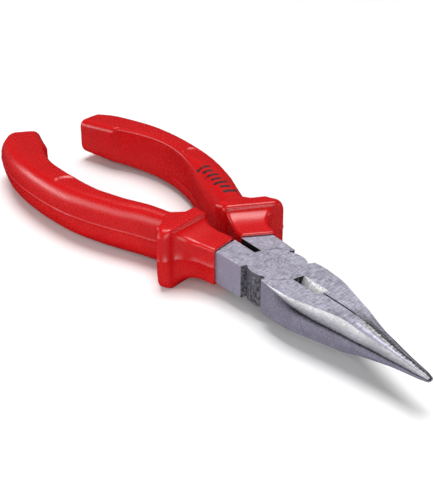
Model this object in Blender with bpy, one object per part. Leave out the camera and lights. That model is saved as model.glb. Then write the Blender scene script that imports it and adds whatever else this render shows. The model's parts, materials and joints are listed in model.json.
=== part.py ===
"""Needle nose pliers, 200 mm size: two forged levers in a lap joint, a countersunk rivet and two PVC grips.

The shapes are drawn about the pivot, in millimetres: +X runs to the tip and Z = 0 is the middle of the
thickness. One empty then centres the whole tool and lifts it so that the guards of its grips stand on Z = 0.
A lever is drawn as the lower one, with its handle on the +Y side, its jaw on the -Y side and its lap disc
below Z = 0. The upper lever is the same forging turned over about the X axis, and only its tang is bent
to suit its own grip.
"""
import math

import bmesh
import bpy
from mathutils import Matrix, Vector

MM = 0.001

# Head
HALF_THICKNESS = 4.83
LAP_RADIUS = 9.2
NOTCH_RADIUS = 8.4
LAP_CLEARANCE = 0.25
LAYER_GAP = 0.3
SLOT_HALF_WIDTH = 1.05
NECK_CORNER = (-4.3, 9.25)
NECK_AT_COLLAR = (-15.2, 10.0)
SLOT_AT_COLLAR = (-19.0, SLOT_HALF_WIDTH)
JAW_SHOULDER = (4.9, 9.1)
LAP_SEGMENTS = 72
NOTCH_RELIEF_DEG = 5.0

# Seam between the jaws, and the side cutter in it
SEAM_HALF_GAP = 0.15
OPEN_SEAM_HALF_GAP = 0.28
OPEN_SEAM_END = 33.0
CUTTER_START = 9.4
CUTTER_END = 19.5
CUTTER_HALF_WIDTH = 1.85

# Rivet, countersunk at both faces
RIVET_RADIUS = 2.6
RIVET_HEAD_RADIUS = 3.5
RIVET_HEAD_DEPTH = 1.1
RIVET_CLEARANCE = 0.1
RIVET_RECESS = 0.03
RIVET_SEGMENTS = 32

# Jaw stations from shoulder to tip: x, outer y, y of the top face's edge, z of the facet's lower edge, top z
JAW_STATIONS = (
    (4.9, 9.10, 9.00, 4.73, 4.83),
    (8.7, 9.42, 9.30, 4.65, 4.83),
    (13.0, 9.45, 9.00, 4.05, 4.83),
    (18.0, 9.05, 8.35, 2.95, 4.83),
    (24.1, 7.75, 6.60, 2.00, 4.83),
    (30.0, 6.35, 4.85, 1.60, 4.78),
    (34.5, 5.40, 3.80, 1.35, 4.60),
    (38.6, 4.65, 3.00, 1.15, 4.00),
    (42.5, 3.95, 2.35, 1.10, 3.30),
    (47.3, 3.05, 1.60, 0.80, 2.40),
    (52.1, 2.20, 1.15, 0.60, 1.75),
    (56.8, 1.45, 0.80, 0.45, 1.10),
    (59.0, 0.85, 0.50, 0.30, 0.60),
)

# Grip. A rung is inner x, inner y, outer x, outer y, half height, then the inner corner's radius and the
# outer corner's width and height.
FIT_GAP = 0.3
LIP_WALL = 0.6
COLLAR_FRONT = (-19.3, 1.15, -15.1, 11.1, 5.75, 1.0, 1.3, 1.3)
COLLAR_BACK = (-23.0, 1.8, -20.6, 12.5, 5.75, 1.0, 1.3, 1.3)
FLANGE_BASE = (-31.2, 4.5, -26.4, 14.8, 5.9, 1.0, 2.0, 2.0)
FLANGE_FRONT = (-31.2, 4.5, -24.9, 21.1, 9.4, 2.2, 3.6, 3.8)
FLANGE_BACK = (-37.2, 5.2, -32.1, 20.6, 9.4, 2.2, 2.6, 2.4)
HANDLE_RUNGS = (
    (-40.5, 6.6, -38.0, 16.4, 8.1, 1.2, 4.0, 6.5),
    (-50.0, 9.5, -47.2, 20.1, 8.2, 1.2, 4.6, 7.2),
    (-61.0, 13.4, -57.6, 24.6, 8.15, 1.2, 4.8, 7.2),
    (-74.0, 18.0, -71.0, 28.8, 8.0, 1.2, 4.8, 7.1),
    (-87.0, 20.3, -85.2, 30.9, 7.85, 1.2, 4.8, 7.0),
    (-99.0, 20.3, -100.0, 31.4, 7.75, 1.2, 4.8, 6.8),
    (-109.0, 18.2, -113.0, 30.4, 7.45, 1.2, 4.6, 6.4),
    (-117.0, 15.4, -123.0, 28.3, 7.15, 1.2, 4.5, 6.1),
)
BULGE_RUNGS = (
    (-118.8, 13.2, -125.2, 27.7, 7.1, 2.6, 4.5, 6.0),
    (-127.4, 10.8, -133.0, 25.2, 6.9, 3.0, 4.6, 5.8),
    (-133.7, 9.0, -138.5, 21.9, 6.6, 3.0, 4.8, 5.5),
)
COLLAR_EDGE = 0.6
RIM_FRONT_EDGE = 0.9
RIM_OUTER_EDGE = 3.0
RIM_BACK_EDGE = 1.6
END_ROUND = 2.8
END_OUTER_ROUND = 7.4
GUARD_INNER_REACH = {"upper": 3.1, "lower": 1.4}
GUARD_OUTER_REACH = {"upper": 0.0, "lower": 0.65}

# The two handles are set a little differently. Each end moves by its shift, less so towards the guard, and
# each root moves its inner and its outer side in Y, less so towards the end.
BEND_START = -55.0
BEND_END = -128.0
END_SHIFT = {"upper": (1.0, 1.7), "lower": (-1.0, -1.6)}
ROOT_SHIFT_START = -72.0
ROOT_SHIFT_FULL = -50.0
ROOT_SHIFT = {"upper": (-0.5, -0.7), "lower": (0.0, 0.8)}
FILLET_STEPS = 6
ROUND_STEPS = 3
RIM_STEPS = 5
HANDLE_STEPS = 2
CORNER_STEPS = 3

# Tang, the bar of the lever that the grip sits on, in the same rung form
TANG_HALF_WIDTH = 2.6
TANG_HALF_HEIGHT = 2.9
TANG_CORNER = 0.05
TANG_CORNERS = (TANG_CORNER,) * 3
TANG_ROOT_RUNGS = (
    (-17.6, 2.3, -13.6, 9.7, 4.7) + TANG_CORNERS,
    (-22.6, 3.4, -19.2, 10.8, 4.7) + TANG_CORNERS,
    (-31.0, 7.4, -28.6, 13.4, 3.6) + TANG_CORNERS,
)

COLOURS = {
    "steel": ((0.36, 0.36, 0.42, 1.0), 0.42, 1.0),
    "rivet_steel": ((0.38, 0.38, 0.43, 1.0), 0.40, 1.0),
    "red_pvc": ((0.72, 0.03, 0.025, 1.0), 0.28, 0.0),
}


def material(name):
    colour, roughness, metallic = COLOURS[name]
    made = bpy.data.materials.get(name) or bpy.data.materials.new(name)
    made.use_nodes = True
    shader = made.node_tree.nodes["Principled BSDF"]
    shader.inputs["Base Color"].default_value = colour
    shader.inputs["Roughness"].default_value = roughness
    shader.inputs["Metallic"].default_value = metallic
    return made


def new_object(name, mesh):
    made = bpy.data.objects.new(name, mesh)
    bpy.context.scene.collection.objects.link(made)
    return made


def finish(thing, material_name):
    thing.data.materials.append(material(material_name))
    thing.data.shade_smooth()
    thing.data.set_sharp_from_angle(angle=math.radians(35.0))
    return thing


def guide(name, mesh):
    """An object that only shapes another one."""
    made = new_object(name, mesh)
    made.hide_render = True
    made.display_type = "WIRE"
    return made


def combine(target, helper, operation):
    modifier = target.modifiers.new(helper.name, "BOOLEAN")
    modifier.operation = operation
    modifier.solver = "EXACT"
    modifier.object = helper


def loft(name, rings):
    """Skin a chain of rings, each a list of points in millimetres, and close both of its ends."""
    work = bmesh.new()
    rows = [[work.verts.new(Vector(point) * MM) for point in ring] for ring in rings]
    count = len(rows[0])
    for row, following in zip(rows, rows[1:]):
        for i in range(count):
            j = (i + 1) % count
            work.faces.new((row[i], row[j], following[j], following[i]))
    work.faces.new(rows[0])
    work.faces.new(rows[-1])
    bmesh.ops.recalc_face_normals(work, faces=work.faces)
    mesh = bpy.data.meshes.new(name)
    work.to_mesh(mesh)
    work.free()
    return mesh


def prism(name, outline, low, high):
    """A flat plate: an outline of (x, y) points between two heights."""
    return loft(name, [[(x, y, z) for x, y in outline] for z in (low, high)])


def arc(radius, start, end, steps):
    """Points on a circle about the pivot, from one angle in degrees to another."""
    turns = [math.radians(start + (end - start) * i / steps) for i in range(steps + 1)]
    return [(radius * math.cos(turn), radius * math.sin(turn)) for turn in turns]


def circle(radius, segments):
    return arc(radius, 0.0, 360.0, segments)[:-1]


def catmull_rom(rows, steps):
    """Smooth rows of numbers through the given rows, with some steps from each one to the next."""
    padded = [rows[0]] + list(rows) + [rows[-1]]
    result = []
    for before, start, end, after in zip(padded, padded[1:], padded[2:], padded[3:]):
        for step in range(steps):
            t = step / steps
            weights = (-t + 2 * t ** 2 - t ** 3, 2 - 5 * t ** 2 + 3 * t ** 3,
                       t + 4 * t ** 2 - 3 * t ** 3, t ** 3 - t ** 2)
            columns = zip(before, start, end, after)
            result.append(tuple(sum(w * v for w, v in zip(weights, column)) / 2 for column in columns))
    result.append(tuple(rows[-1]))
    return result


def across(rung):
    """The direction from a rung's inner point to its outer one."""
    return Vector((rung[2] - rung[0], rung[3] - rung[1])).normalized()


def moved_along(rung, distance):
    """The same rung, moved towards the end of the handle."""
    side = across(rung)
    x = -side.y * distance
    y = side.x * distance
    return (rung[0] + x, rung[1] + y, rung[2] + x, rung[3] + y) + tuple(rung[4:])


def bent(rung, which):
    """The same rung, moved by its share of the shifts of this handle's end and root."""
    share = min(max((BEND_START - rung[0]) / (BEND_START - BEND_END), 0.0), 1.0)
    x, y = (part * share for part in END_SHIFT[which])
    root = min(max((rung[0] - ROOT_SHIFT_START) / (ROOT_SHIFT_FULL - ROOT_SHIFT_START), 0.0), 1.0)
    inner, outer = (part * root for part in ROOT_SHIFT[which])
    return (rung[0] + x, rung[1] + y + inner, rung[2] + x, rung[3] + y + outer) + tuple(rung[4:])


def shrunk(rung, inner, outer=None, height=None):
    """The same rung, made smaller at its inner side, its outer side and its top and bottom."""
    outer = inner if outer is None else outer
    height = inner if height is None else height
    side = across(rung)
    corners = (max(corner - loss, TANG_CORNER) for corner, loss in zip(rung[5:], (inner, outer, height)))
    return (rung[0] + side.x * inner, rung[1] + side.y * inner,
            rung[2] - side.x * outer, rung[3] - side.y * outer, rung[4] - height, *corners)


def section(rung):
    """The ring of a rung: an upright rounded rectangle on the line from its inner to its outer point."""
    inner_x, inner_y, outer_x, outer_y, height, inner_radius, outer_width, outer_height = rung
    side = across(rung)
    width = math.hypot(outer_x - inner_x, outer_y - inner_y)
    corners = (
        (width - outer_width, -height + outer_height, outer_width, outer_height, -90.0),
        (width - outer_width, height - outer_height, outer_width, outer_height, 0.0),
        (inner_radius, height - inner_radius, inner_radius, inner_radius, 90.0),
        (inner_radius, -height + inner_radius, inner_radius, inner_radius, 180.0),
    )
    ring = []
    for u, v, wide, tall, start in corners:
        for step in range(CORNER_STEPS + 1):
            turn = math.radians(start + 90.0 * step / CORNER_STEPS)
            reach = u + wide * math.cos(turn)
            ring.append((inner_x + side.x * reach, inner_y + side.y * reach, v + tall * math.sin(turn)))
    return ring


def quarter(steps):
    """Angles of a quarter turn, both ends included."""
    return [math.radians(90.0 * i / steps) for i in range(steps + 1)]


def round_loss(depth, radius):
    """How much a rounded edge takes off a side, at a depth below the face that the edge leads to."""
    return radius - math.sqrt(radius ** 2 - (radius - depth) ** 2) if depth < radius else 0.0


def guard_rungs(inner_reach, outer_reach):
    """Collar, concave fillet and raised rim, from the front face of the collar to the back of the rim."""
    rungs = [shrunk(moved_along(COLLAR_FRONT, COLLAR_EDGE * (1 - math.cos(turn))),
                    COLLAR_EDGE * (1 - math.sin(turn))) for turn in quarter(ROUND_STEPS)]
    rim_front, rim_back = (shrunk(rung, -inner_reach, -outer_reach, 0.0)[:5] + rung[5:]
                           for rung in (FLANGE_FRONT, FLANGE_BACK))
    face = shrunk(rim_front, RIM_FRONT_EDGE, RIM_OUTER_EDGE, RIM_FRONT_EDGE)
    for turn in quarter(FILLET_STEPS):
        rungs.append(tuple(back + (base - back) * math.sin(turn) + (top - base) * (1 - math.cos(turn))
                           for back, base, top in zip(COLLAR_BACK, FLANGE_BASE, face)))
    for turn in quarter(RIM_STEPS)[1:]:
        back = RIM_OUTER_EDGE * (1 - math.cos(turn))
        small = round_loss(back, RIM_FRONT_EDGE)
        rungs.append(shrunk(moved_along(rim_front, back), small, RIM_OUTER_EDGE * (1 - math.sin(turn)), small))
    for turn in quarter(ROUND_STEPS):
        rungs.append(shrunk(moved_along(rim_back, RIM_BACK_EDGE * (math.sin(turn) - 1)),
                            RIM_BACK_EDGE * (1 - math.cos(turn))))
    return rungs


def handle_rungs(which):
    """From the root of the handle over its hump to the thicker end, which is rounded off."""
    shaft, bulge = ([bent(rung, which) for rung in rungs] for rungs in (HANDLE_RUNGS, BULGE_RUNGS))
    rungs = catmull_rom(shaft, HANDLE_STEPS) + catmull_rom(bulge, HANDLE_STEPS)
    last = rungs[-1]
    for turn in quarter(ROUND_STEPS)[1:]:
        share = 1 - math.cos(turn)
        rungs.append(shrunk(moved_along(last, END_ROUND * math.sin(turn)), END_ROUND * share,
                            END_OUTER_ROUND * share, END_ROUND * share))
    return rungs


def tang_rungs(which):
    """The bar inside the grip, along the middle of the handle."""
    rungs = list(TANG_ROOT_RUNGS)
    for rung in [bent(rung, which) for rung in HANDLE_RUNGS + BULGE_RUNGS[1:2]]:
        middle = Vector((rung[0] + rung[2], rung[1] + rung[3])) / 2
        inner = middle - across(rung) * TANG_HALF_WIDTH
        outer = middle + across(rung) * TANG_HALF_WIDTH
        rungs.append((inner.x, inner.y, outer.x, outer.y, TANG_HALF_HEIGHT) + TANG_CORNERS)
    return catmull_rom(rungs, HANDLE_STEPS)


def cavity_rungs(which):
    """The inside of the grip: the tang with a fit gap all round it, and a little longer."""
    bar = [rung for rung in tang_rungs(which) if rung[0] < COLLAR_FRONT[0] - 2.0]
    rungs = [shrunk(COLLAR_FRONT, LIP_WALL)]
    rungs += [shrunk(rung, -FIT_GAP)[:5] + (FIT_GAP,) * 3 for rung in bar]
    rungs.append(moved_along(rungs[-1], 2 * FIT_GAP))
    return rungs


def build_grip(name, which):
    skin = guard_rungs(GUARD_INNER_REACH[which], GUARD_OUTER_REACH[which]) + handle_rungs(which)
    mesh = loft(name, [section(rung) for rung in skin[::-1] + cavity_rungs(which)])
    if which == "upper":
        mesh.transform(Matrix.Scale(-1.0, 4, Vector((0.0, 1.0, 0.0))))
        mesh.flip_normals()
    return finish(new_object(name, mesh), "red_pvc")


def lap_outline():
    """The lap disc: full radius where the other lever wraps it, and less in the two side notches."""
    neck_angle = math.degrees(math.atan2(NECK_CORNER[1], NECK_CORNER[0])) + NOTCH_RELIEF_DEG
    jaw_angle = math.degrees(math.atan2(JAW_SHOULDER[1], JAW_SHOULDER[0])) - 2.0
    step = 0.5
    outline = arc(NOTCH_RADIUS, jaw_angle, neck_angle, 12)
    outline += arc(LAP_RADIUS, neck_angle + step, 360.0 - neck_angle - step, 20)
    outline += arc(NOTCH_RADIUS, 360.0 - neck_angle, 360.0 - jaw_angle, 12)
    outline += arc(LAP_RADIUS, 360.0 - jaw_angle + step, 360.0 + jaw_angle - step, 20)
    return outline


def jaw_section(station):
    x, outer, top_edge, facet, top = station
    seam = OPEN_SEAM_HALF_GAP if x < OPEN_SEAM_END else SEAM_HALF_GAP
    upper = [(x, -seam, top), (x, -top_edge, top), (x, -outer, facet)]
    return upper + [(x, y, -z) for x, y, z in reversed(upper)]


def rivet_rings(grow, half_length):
    """A pin with a countersunk head at each end, turned about the pivot."""
    profile = ((RIVET_HEAD_RADIUS, half_length), (RIVET_RADIUS, HALF_THICKNESS - RIVET_HEAD_DEPTH))
    profile += tuple((radius, -z) for radius, z in reversed(profile))
    return [[(x, y, z) for x, y in circle(radius + grow, RIVET_SEGMENTS)] for radius, z in profile]


def cutter_rings():
    """The two bevels of the side cutter: a prism whose edge points at the jaw from the seam."""
    slope = CUTTER_HALF_WIDTH / HALF_THICKNESS
    reach = HALF_THICKNESS + 1.0
    wide = -SEAM_HALF_GAP - slope * reach
    profile = ((wide, reach), (1.0, reach), (1.0, -reach), (wide, -reach), (-SEAM_HALF_GAP, 0.0))
    return [[(x, y, z) for y, z in profile] for x in (CUTTER_START, CUTTER_END)]


def build_lever(name, which):
    neck = ((NECK_CORNER[0], SLOT_HALF_WIDTH), NECK_CORNER, NECK_AT_COLLAR, SLOT_AT_COLLAR)
    reach = HALF_THICKNESS + 1.0
    lever = new_object(name, prism(name, lap_outline(), -HALF_THICKNESS, 0.0))
    added = {
        "neck": prism(name, neck, -HALF_THICKNESS, HALF_THICKNESS),
        "jaw": loft(name, [jaw_section(station) for station in catmull_rom(JAW_STATIONS, HANDLE_STEPS)]),
        "tang": loft(name, [section(rung) for rung in tang_rungs(which)]),
    }
    removed = {
        "lap_pocket": prism(name, circle(LAP_RADIUS + LAP_CLEARANCE, LAP_SEGMENTS), -LAYER_GAP / 2, reach),
        "cutter_bevels": loft(name, cutter_rings()),
        "rivet_hole": loft(name, rivet_rings(RIVET_CLEARANCE, HALF_THICKNESS + 0.01)),
    }
    helpers = []
    for operation, meshes in (("UNION", added), ("DIFFERENCE", removed)):
        for label, mesh in meshes.items():
            helper = guide(name + "_" + label, mesh)
            combine(lever, helper, operation)
            helpers.append(helper)
    if which == "upper":
        for thing in [lever] + helpers:
            thing.data.transform(Matrix.Rotation(math.pi, 4, "X"))
    return finish(lever, "steel"), helpers


def main():
    for old in list(bpy.data.objects):
        bpy.data.objects.remove(old, do_unlink=True)
    upper, upper_helpers = build_lever("upper_lever", "upper")
    lower, lower_helpers = build_lever("lower_lever", "lower")
    upper_grip = build_grip("upper_lever_grip", "upper")
    lower_grip = build_grip("lower_lever_grip", "lower")
    rivet_mesh = loft("pivot_rivet", rivet_rings(0.0, HALF_THICKNESS - RIVET_RECESS))
    rivet = finish(new_object("pivot_rivet", rivet_mesh), "rivet_steel")
    tail = min(corner.co.x for corner in lower_grip.data.vertices)
    tip = JAW_STATIONS[-1][0] * MM
    near = min(corner.co.y for corner in upper_grip.data.vertices)
    far = max(corner.co.y for corner in lower_grip.data.vertices)
    pivot = new_object("pivot", None)
    pivot.location = (-(tail + tip) / 2, -(near + far) / 2, FLANGE_FRONT[4] * MM)
    for piece in [upper, lower, upper_grip, lower_grip, rivet] + upper_helpers + lower_helpers:
        piece.parent = pivot


main()
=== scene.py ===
"""Looks of the needle nose pliers: ground and forged steel levers, a flush rivet and glossy red grips.

Shapes are drawn in millimetres about the pivot, with +X to the tip and Z = 0 in the middle of the
thickness. A lever and its grip are drawn as the lower ones, with the handle on +Y and the jaw on -Y. The
upper lever is that shape turned over about X, and the upper grip is mirrored in Y.
"""
import json
import math

import bmesh
import bpy
from mathutils import Matrix, Vector
from mathutils.bvhtree import BVHTree

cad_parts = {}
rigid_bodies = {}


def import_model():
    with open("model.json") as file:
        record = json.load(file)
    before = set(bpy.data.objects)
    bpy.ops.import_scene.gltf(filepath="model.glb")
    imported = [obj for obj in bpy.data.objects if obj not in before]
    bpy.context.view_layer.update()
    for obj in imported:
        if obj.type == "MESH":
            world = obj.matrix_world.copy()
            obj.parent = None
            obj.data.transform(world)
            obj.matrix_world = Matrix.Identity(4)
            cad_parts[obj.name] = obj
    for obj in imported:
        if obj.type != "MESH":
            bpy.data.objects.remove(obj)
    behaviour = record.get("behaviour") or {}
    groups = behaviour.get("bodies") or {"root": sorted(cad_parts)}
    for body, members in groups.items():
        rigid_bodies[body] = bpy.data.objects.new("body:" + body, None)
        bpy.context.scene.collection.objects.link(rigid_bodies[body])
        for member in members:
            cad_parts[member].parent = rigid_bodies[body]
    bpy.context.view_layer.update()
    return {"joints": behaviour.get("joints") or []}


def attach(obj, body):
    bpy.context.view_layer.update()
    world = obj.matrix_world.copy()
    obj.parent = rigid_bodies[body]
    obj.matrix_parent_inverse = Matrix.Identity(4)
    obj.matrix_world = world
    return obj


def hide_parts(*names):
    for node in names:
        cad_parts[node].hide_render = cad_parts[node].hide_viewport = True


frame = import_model()

MM = 0.001
PIVOT = Vector(frame["joints"][0]["pos_m"])
UPPER_BODY = frame["joints"][0]["parent"]
LOWER_BODY = frame["joints"][0]["child"]

# Camera, about the pivot
CAMERA_AZIMUTH = 55.875
CAMERA_ELEVATION = 26.18
CAMERA_ROLL = 0.196
CAMERA_DISTANCE = 281.47
CAMERA_TARGET = (-23.48, 0.19, 0.0)
CAMERA_LENS = 69.685
CAMERA_SHIFT = (-0.02507, 0.00111)
CAMERA_SENSOR = 36.0
CAMERA_NEAR = 0.01
CAMERA_FAR = 100.0

# Stage. A soft box is its name, direction from the pivot, distance and size in metres, and power in watts.
# The sky is a very wide soft light from above, which lights the whole floor evenly.
FLOOR_HALF_SIZE = 50.0
FLOOR_COLOUR = (0.95, 0.95, 0.95, 1.0)
SOFT_BOXES = (
    ("key", (-0.25, -0.85, 0.36), 0.8, (0.7, 0.24), 1.6),
    ("fill", (0.85, -0.45, 0.5), 0.9, (0.6, 0.5), 2.7),
    ("left", (-0.74, -0.60, 0.2), 0.8, (0.40, 0.12), 0.9),
    ("front", (0.96, -0.14, 0.2), 0.8, (0.3, 0.06), 0.8),
    ("far_side", (0.36, 0.92, 0.16), 0.8, (0.22, 0.06), 0.35),
)
SKY_DIRECTION = (-0.24, 0.14, 1.0)
SKY_SPREAD_DEG = 44.0
SKY_POWER = 2.95

# Materials of a lever, in the order of its slots
GROUND, FORGED, FACET, BRIGHT, DARK, BLACK, EDGE = range(7)

# Grinding marks: the wheel's centre, and how fine the grain is across and along its arcs
FIRST_GRIND = {"centre": (-95.0, -22.0), "across": 3.2, "along": 44.0}
SECOND_GRIND = {"centre": (10.0, -90.0), "across": 2.6, "along": 36.0}
RIVET_GRIND = {"centre": (-60.0, -75.0), "across": 2.4, "along": 60.0}

# Head
HALF_THICKNESS = 4.83
LAP_RADIUS = 9.2
NOTCH_RADIUS = 8.4
LAP_CLEARANCE = 0.13
LAYER_GAP = 0.06
SLOT_HALF_WIDTH = 1.12
NECK_CORNER = (-4.3, 9.25)
NECK_AT_COLLAR = (-15.2, 10.0)
SLOT_AT_COLLAR = (-19.0, SLOT_HALF_WIDTH)
JAW_SHOULDER = (4.9, 9.1)
NECK_RELIEF_DEG = 5.0
JAW_RELIEF_DEG = 2.0
NOTCH_WALL_DEG = 0.5
NOTCH_SEGMENTS = 24
LAP_SEGMENTS = 48
RECESS_SEGMENTS = 144

# How far a cutting shape reaches past the faces or sides that it cuts
CUT_REACH = 1.0
BORE_REACH = 0.01

# Edges: those steeper than BEVEL_FROM_DEG are bevelled, less and less towards the tip
WELD_DISTANCE = 0.002
FLAT_WITHIN_DEG = 0.4
EDGE_BEVEL = 0.14
BEVEL_SEGMENTS = 2
BEVEL_FROM_DEG = 32.0
BEVEL_SHORTEST = 0.05
BEVEL_LOSS = 0.8
BEVEL_LOSS_START = 38.0
BEVEL_LOSS_FULL = 56.0
SMOOTH_BELOW_DEG = 20.0

# Seam between the jaws, its teeth, and the side cutter
SEAM_HALF_GAP = 0.06
OPEN_SEAM_HALF_GAP = 0.28
OPEN_SEAM_END = 33.0
TOOTHED_LENGTH = 25.0
TOOTH_PITCH = 1.1
TOOTH_DEPTH = 0.16
TOOTH_MARGIN = 0.05
TEETH_BEFORE = 1.0
CUTTER_START = 9.4
CUTTER_END = 19.5
CUTTER_HALF_WIDTH = 1.85

# Nose: the tapered end of the jaws, whose top is slightly conical
NOSE_START = 31.0
NOSE_FULL = 40.0
NOSE_CROWN = 0.22

# Rivet
RIVET_RADIUS = 2.6
RIVET_HEAD_RADIUS = 3.5
RIVET_HEAD_DEPTH = 1.1
RIVET_CLEARANCE = 0.02
RIVET_RECESS = 0.03
RIVET_EDGE = 0.08
RIVET_SHARP_DEG = 30.0
RIVET_SEGMENTS = 96
BORE_SEGMENTS = 64

# Jaw stations from shoulder to tip: x, outer y, y of the top face's edge, z of the facet's lower edge and
# z of the top
JAW_STATIONS = (
    (4.9, 9.10, 9.00, 4.73, 4.83),
    (8.7, 9.42, 9.30, 4.65, 4.83),
    (13.0, 9.45, 9.00, 4.05, 4.83),
    (18.0, 9.05, 8.35, 2.95, 4.83),
    (24.1, 7.75, 6.60, 2.00, 4.83),
    (30.0, 6.35, 4.85, 1.60, 4.78),
    (34.5, 5.40, 3.80, 1.35, 4.60),
    (38.6, 4.65, 3.00, 1.15, 4.00),
    (42.5, 3.95, 2.35, 1.10, 3.30),
    (47.3, 3.05, 1.60, 0.80, 2.40),
    (52.1, 2.20, 1.15, 0.60, 1.75),
    (56.8, 1.45, 0.80, 0.45, 1.10),
    (59.0, 0.85, 0.50, 0.30, 0.60),
)
JAW_BANDS = (GROUND, FACET, FORGED, FORGED, FORGED, GROUND, DARK)
JAW_STEPS = 16
BAND_STEPS = 8
BAND_FROM_SHOULDER = 1.0
BAND_TOLERANCE = 0.02
PLAIN_ROWS = 35
PLAIN_ROW_PITCH = 0.8

# Grip. A rung is inner x, inner y, outer x, outer y, half height, then the inner corner's radius and the
# outer corner's width and height.
LIP_WALL = 0.6
LIP_TAPER = 0.2
LIP_DEPTH = 3.0
COLLAR_FRONT = (-19.3, 1.15, -15.1, 11.1, 5.75, 1.0, 1.3, 1.3)
COLLAR_BACK = (-23.0, 1.8, -20.6, 12.5, 5.75, 1.0, 1.3, 1.3)
FLANGE_BASE = (-31.2, 4.5, -26.4, 14.8, 5.9, 1.0, 2.0, 2.0)
FLANGE_FRONT = (-31.2, 4.5, -24.9, 21.1, 9.4, 2.2, 3.6, 3.8)
FLANGE_BACK = (-37.2, 5.2, -32.1, 20.6, 9.4, 2.2, 2.6, 2.4)
HANDLE_RUNGS = (
    (-40.5, 6.6, -38.0, 16.4, 8.1, 1.2, 4.0, 6.5),
    (-50.0, 9.5, -47.2, 20.1, 8.2, 1.2, 4.6, 7.2),
    (-61.0, 13.4, -57.6, 24.6, 8.15, 1.2, 4.8, 7.2),
    (-74.0, 18.0, -71.0, 28.8, 8.0, 1.2, 4.8, 7.1),
    (-87.0, 20.3, -85.2, 30.9, 7.85, 1.2, 4.8, 7.0),
    (-99.0, 20.3, -100.0, 31.4, 7.75, 1.2, 4.8, 6.8),
    (-109.0, 18.2, -113.0, 30.4, 7.45, 1.2, 4.6, 6.4),
    (-117.0, 15.4, -123.0, 28.3, 7.15, 1.2, 4.5, 6.1),
)
BULGE_RUNGS = (
    (-118.8, 13.2, -125.2, 27.7, 7.1, 2.6, 4.5, 6.0),
    (-127.4, 10.8, -133.0, 25.2, 6.9, 3.0, 4.6, 5.8),
    (-133.7, 9.0, -138.5, 21.9, 6.6, 3.0, 4.8, 5.5),
)
SMALLEST_CORNER = 0.05
COLLAR_EDGE = 0.6
RIM_FRONT_EDGE = 0.9
RIM_OUTER_EDGE = 3.0
RIM_BACK_EDGE = 1.6
END_ROUND = 2.6
END_OUTER_ROUND = 7.4
GRIP_SHARP_DEG = 60.0

# How the two grips differ: the reach of their guards inwards and outwards, the shift of the handles' ends
# in x and y, which grows from BEND_START, and the shift of the roots' inner and outer sides in y
GUARD_INNER_REACH = {"upper": 3.1, "lower": 1.4}
GUARD_OUTER_REACH = {"upper": 0.0, "lower": 0.65}
BEND_START = -55.0
BEND_END = -128.0
END_SHIFT = {"upper": (1.0, 1.7), "lower": (-1.0, -1.6)}
ROOT_SHIFT_START = -72.0
ROOT_SHIFT_FULL = -50.0
ROOT_SHIFT = {"upper": (-0.5, -0.7), "lower": (0.0, 0.8)}

# Steps of each part of a grip
FILLET_STEPS = 16
ROUND_STEPS = 5
RIM_STEPS = 10
HANDLE_STEPS = 22
SWELL_STEPS = 8
BULGE_STEPS = 8
END_STEPS = 8
TOP_POINTS = 9
OUTER_CORNER_TURNS = (0.0, 9.0, 18.0, 27.0, 36.0, 45.0, 54.0, 60.0, 64.0, 66.5, 68.5, 71.0, 75.0, 82.0,
                      90.0)
INNER_CORNER_TURNS = (0.0, 15.0, 30.0, 45.0, 60.0, 75.0, 90.0)

# Parting ridge round a grip: its height, and the z and share of the height of each point of its section
SKIN_INSET = 0.03
RIDGE_HEIGHT = 0.2
RIDGE_SECTION = ((-0.28, 0.0), (-0.12, 1.0), (0.12, 1.0), (0.28, 0.0))
RIDGE_WITHIN = 0.9

# Shallow panel on the top of a handle
PANEL_START = -84.0
PANEL_END = -46.0
PANEL_FADE = 14.0
PANEL_INNER = 1.0
PANEL_FROM_OUTER = 3.0
PANEL_DEPTH = 0.45
PANEL_WALL = (-0.15, 0.08)
PANEL_LEAST_WIDTH = 2.0
PANEL_ABOVE = 0.6

# Groove along the inner side of a handle, and the z of the points of that side
GROOVE_HEIGHT = -3.8
GROOVE_DEPTH = 0.22
GROOVE_START = -90.0
GROOVE_END = -44.0
GROOVE_FADE = 8.0
GROOVE_WALL = (0.05, 0.45)
INNER_SIDE_POINTS = (-1.5, -2.4, -3.3, GROOVE_HEIGHT + 0.12, GROOVE_HEIGHT - 0.12, -4.25)
INNER_SIDE_WITHIN = 0.98
INNER_SIDE_TOLERANCE = 0.01

# Softer inner top edge of a handle near its guard
SOFT_EDGE_START = -92.0
SOFT_EDGE_FULL = -54.0
SOFT_EDGE_ROOT_FADE = (37.0, 42.0)
SOFT_EDGE_WIDTH = 5.0
SOFT_EDGE_HEIGHT = 8.2
SOFT_EDGE_MARGIN = 0.5

# Tang. Its rungs end with the half height.
TANG_HALF_WIDTH = 2.6
TANG_HALF_HEIGHT = 2.9
TANG_STEPS = 4
TANG_ROOT_RUNGS = (
    (-17.6, 2.3, -13.6, 9.7, 4.7),
    (-22.6, 3.4, -19.2, 10.8, 4.7),
    (-31.0, 7.4, -28.6, 13.4, 3.6),
)

# Printed mark on the far grip: a row of slanted bars, of which every second one is shorter. MARK_ABOVE is
# where the look down on the grip starts, in metres.
MARK_BARS = 7
MARK_FROM = (-66.5, 18.6)
MARK_TO = (-43.5, 13.6)
MARK_BAR_LENGTH = 4.2
MARK_BAR_WIDTH = 1.7
MARK_SHORT_BAR = 0.72
MARK_SLANT = 0.8
MARK_ROWS = 6
MARK_LIFT = 0.05
MARK_ABOVE = 0.03


# ---------------------------------------------------------------- materials

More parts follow.
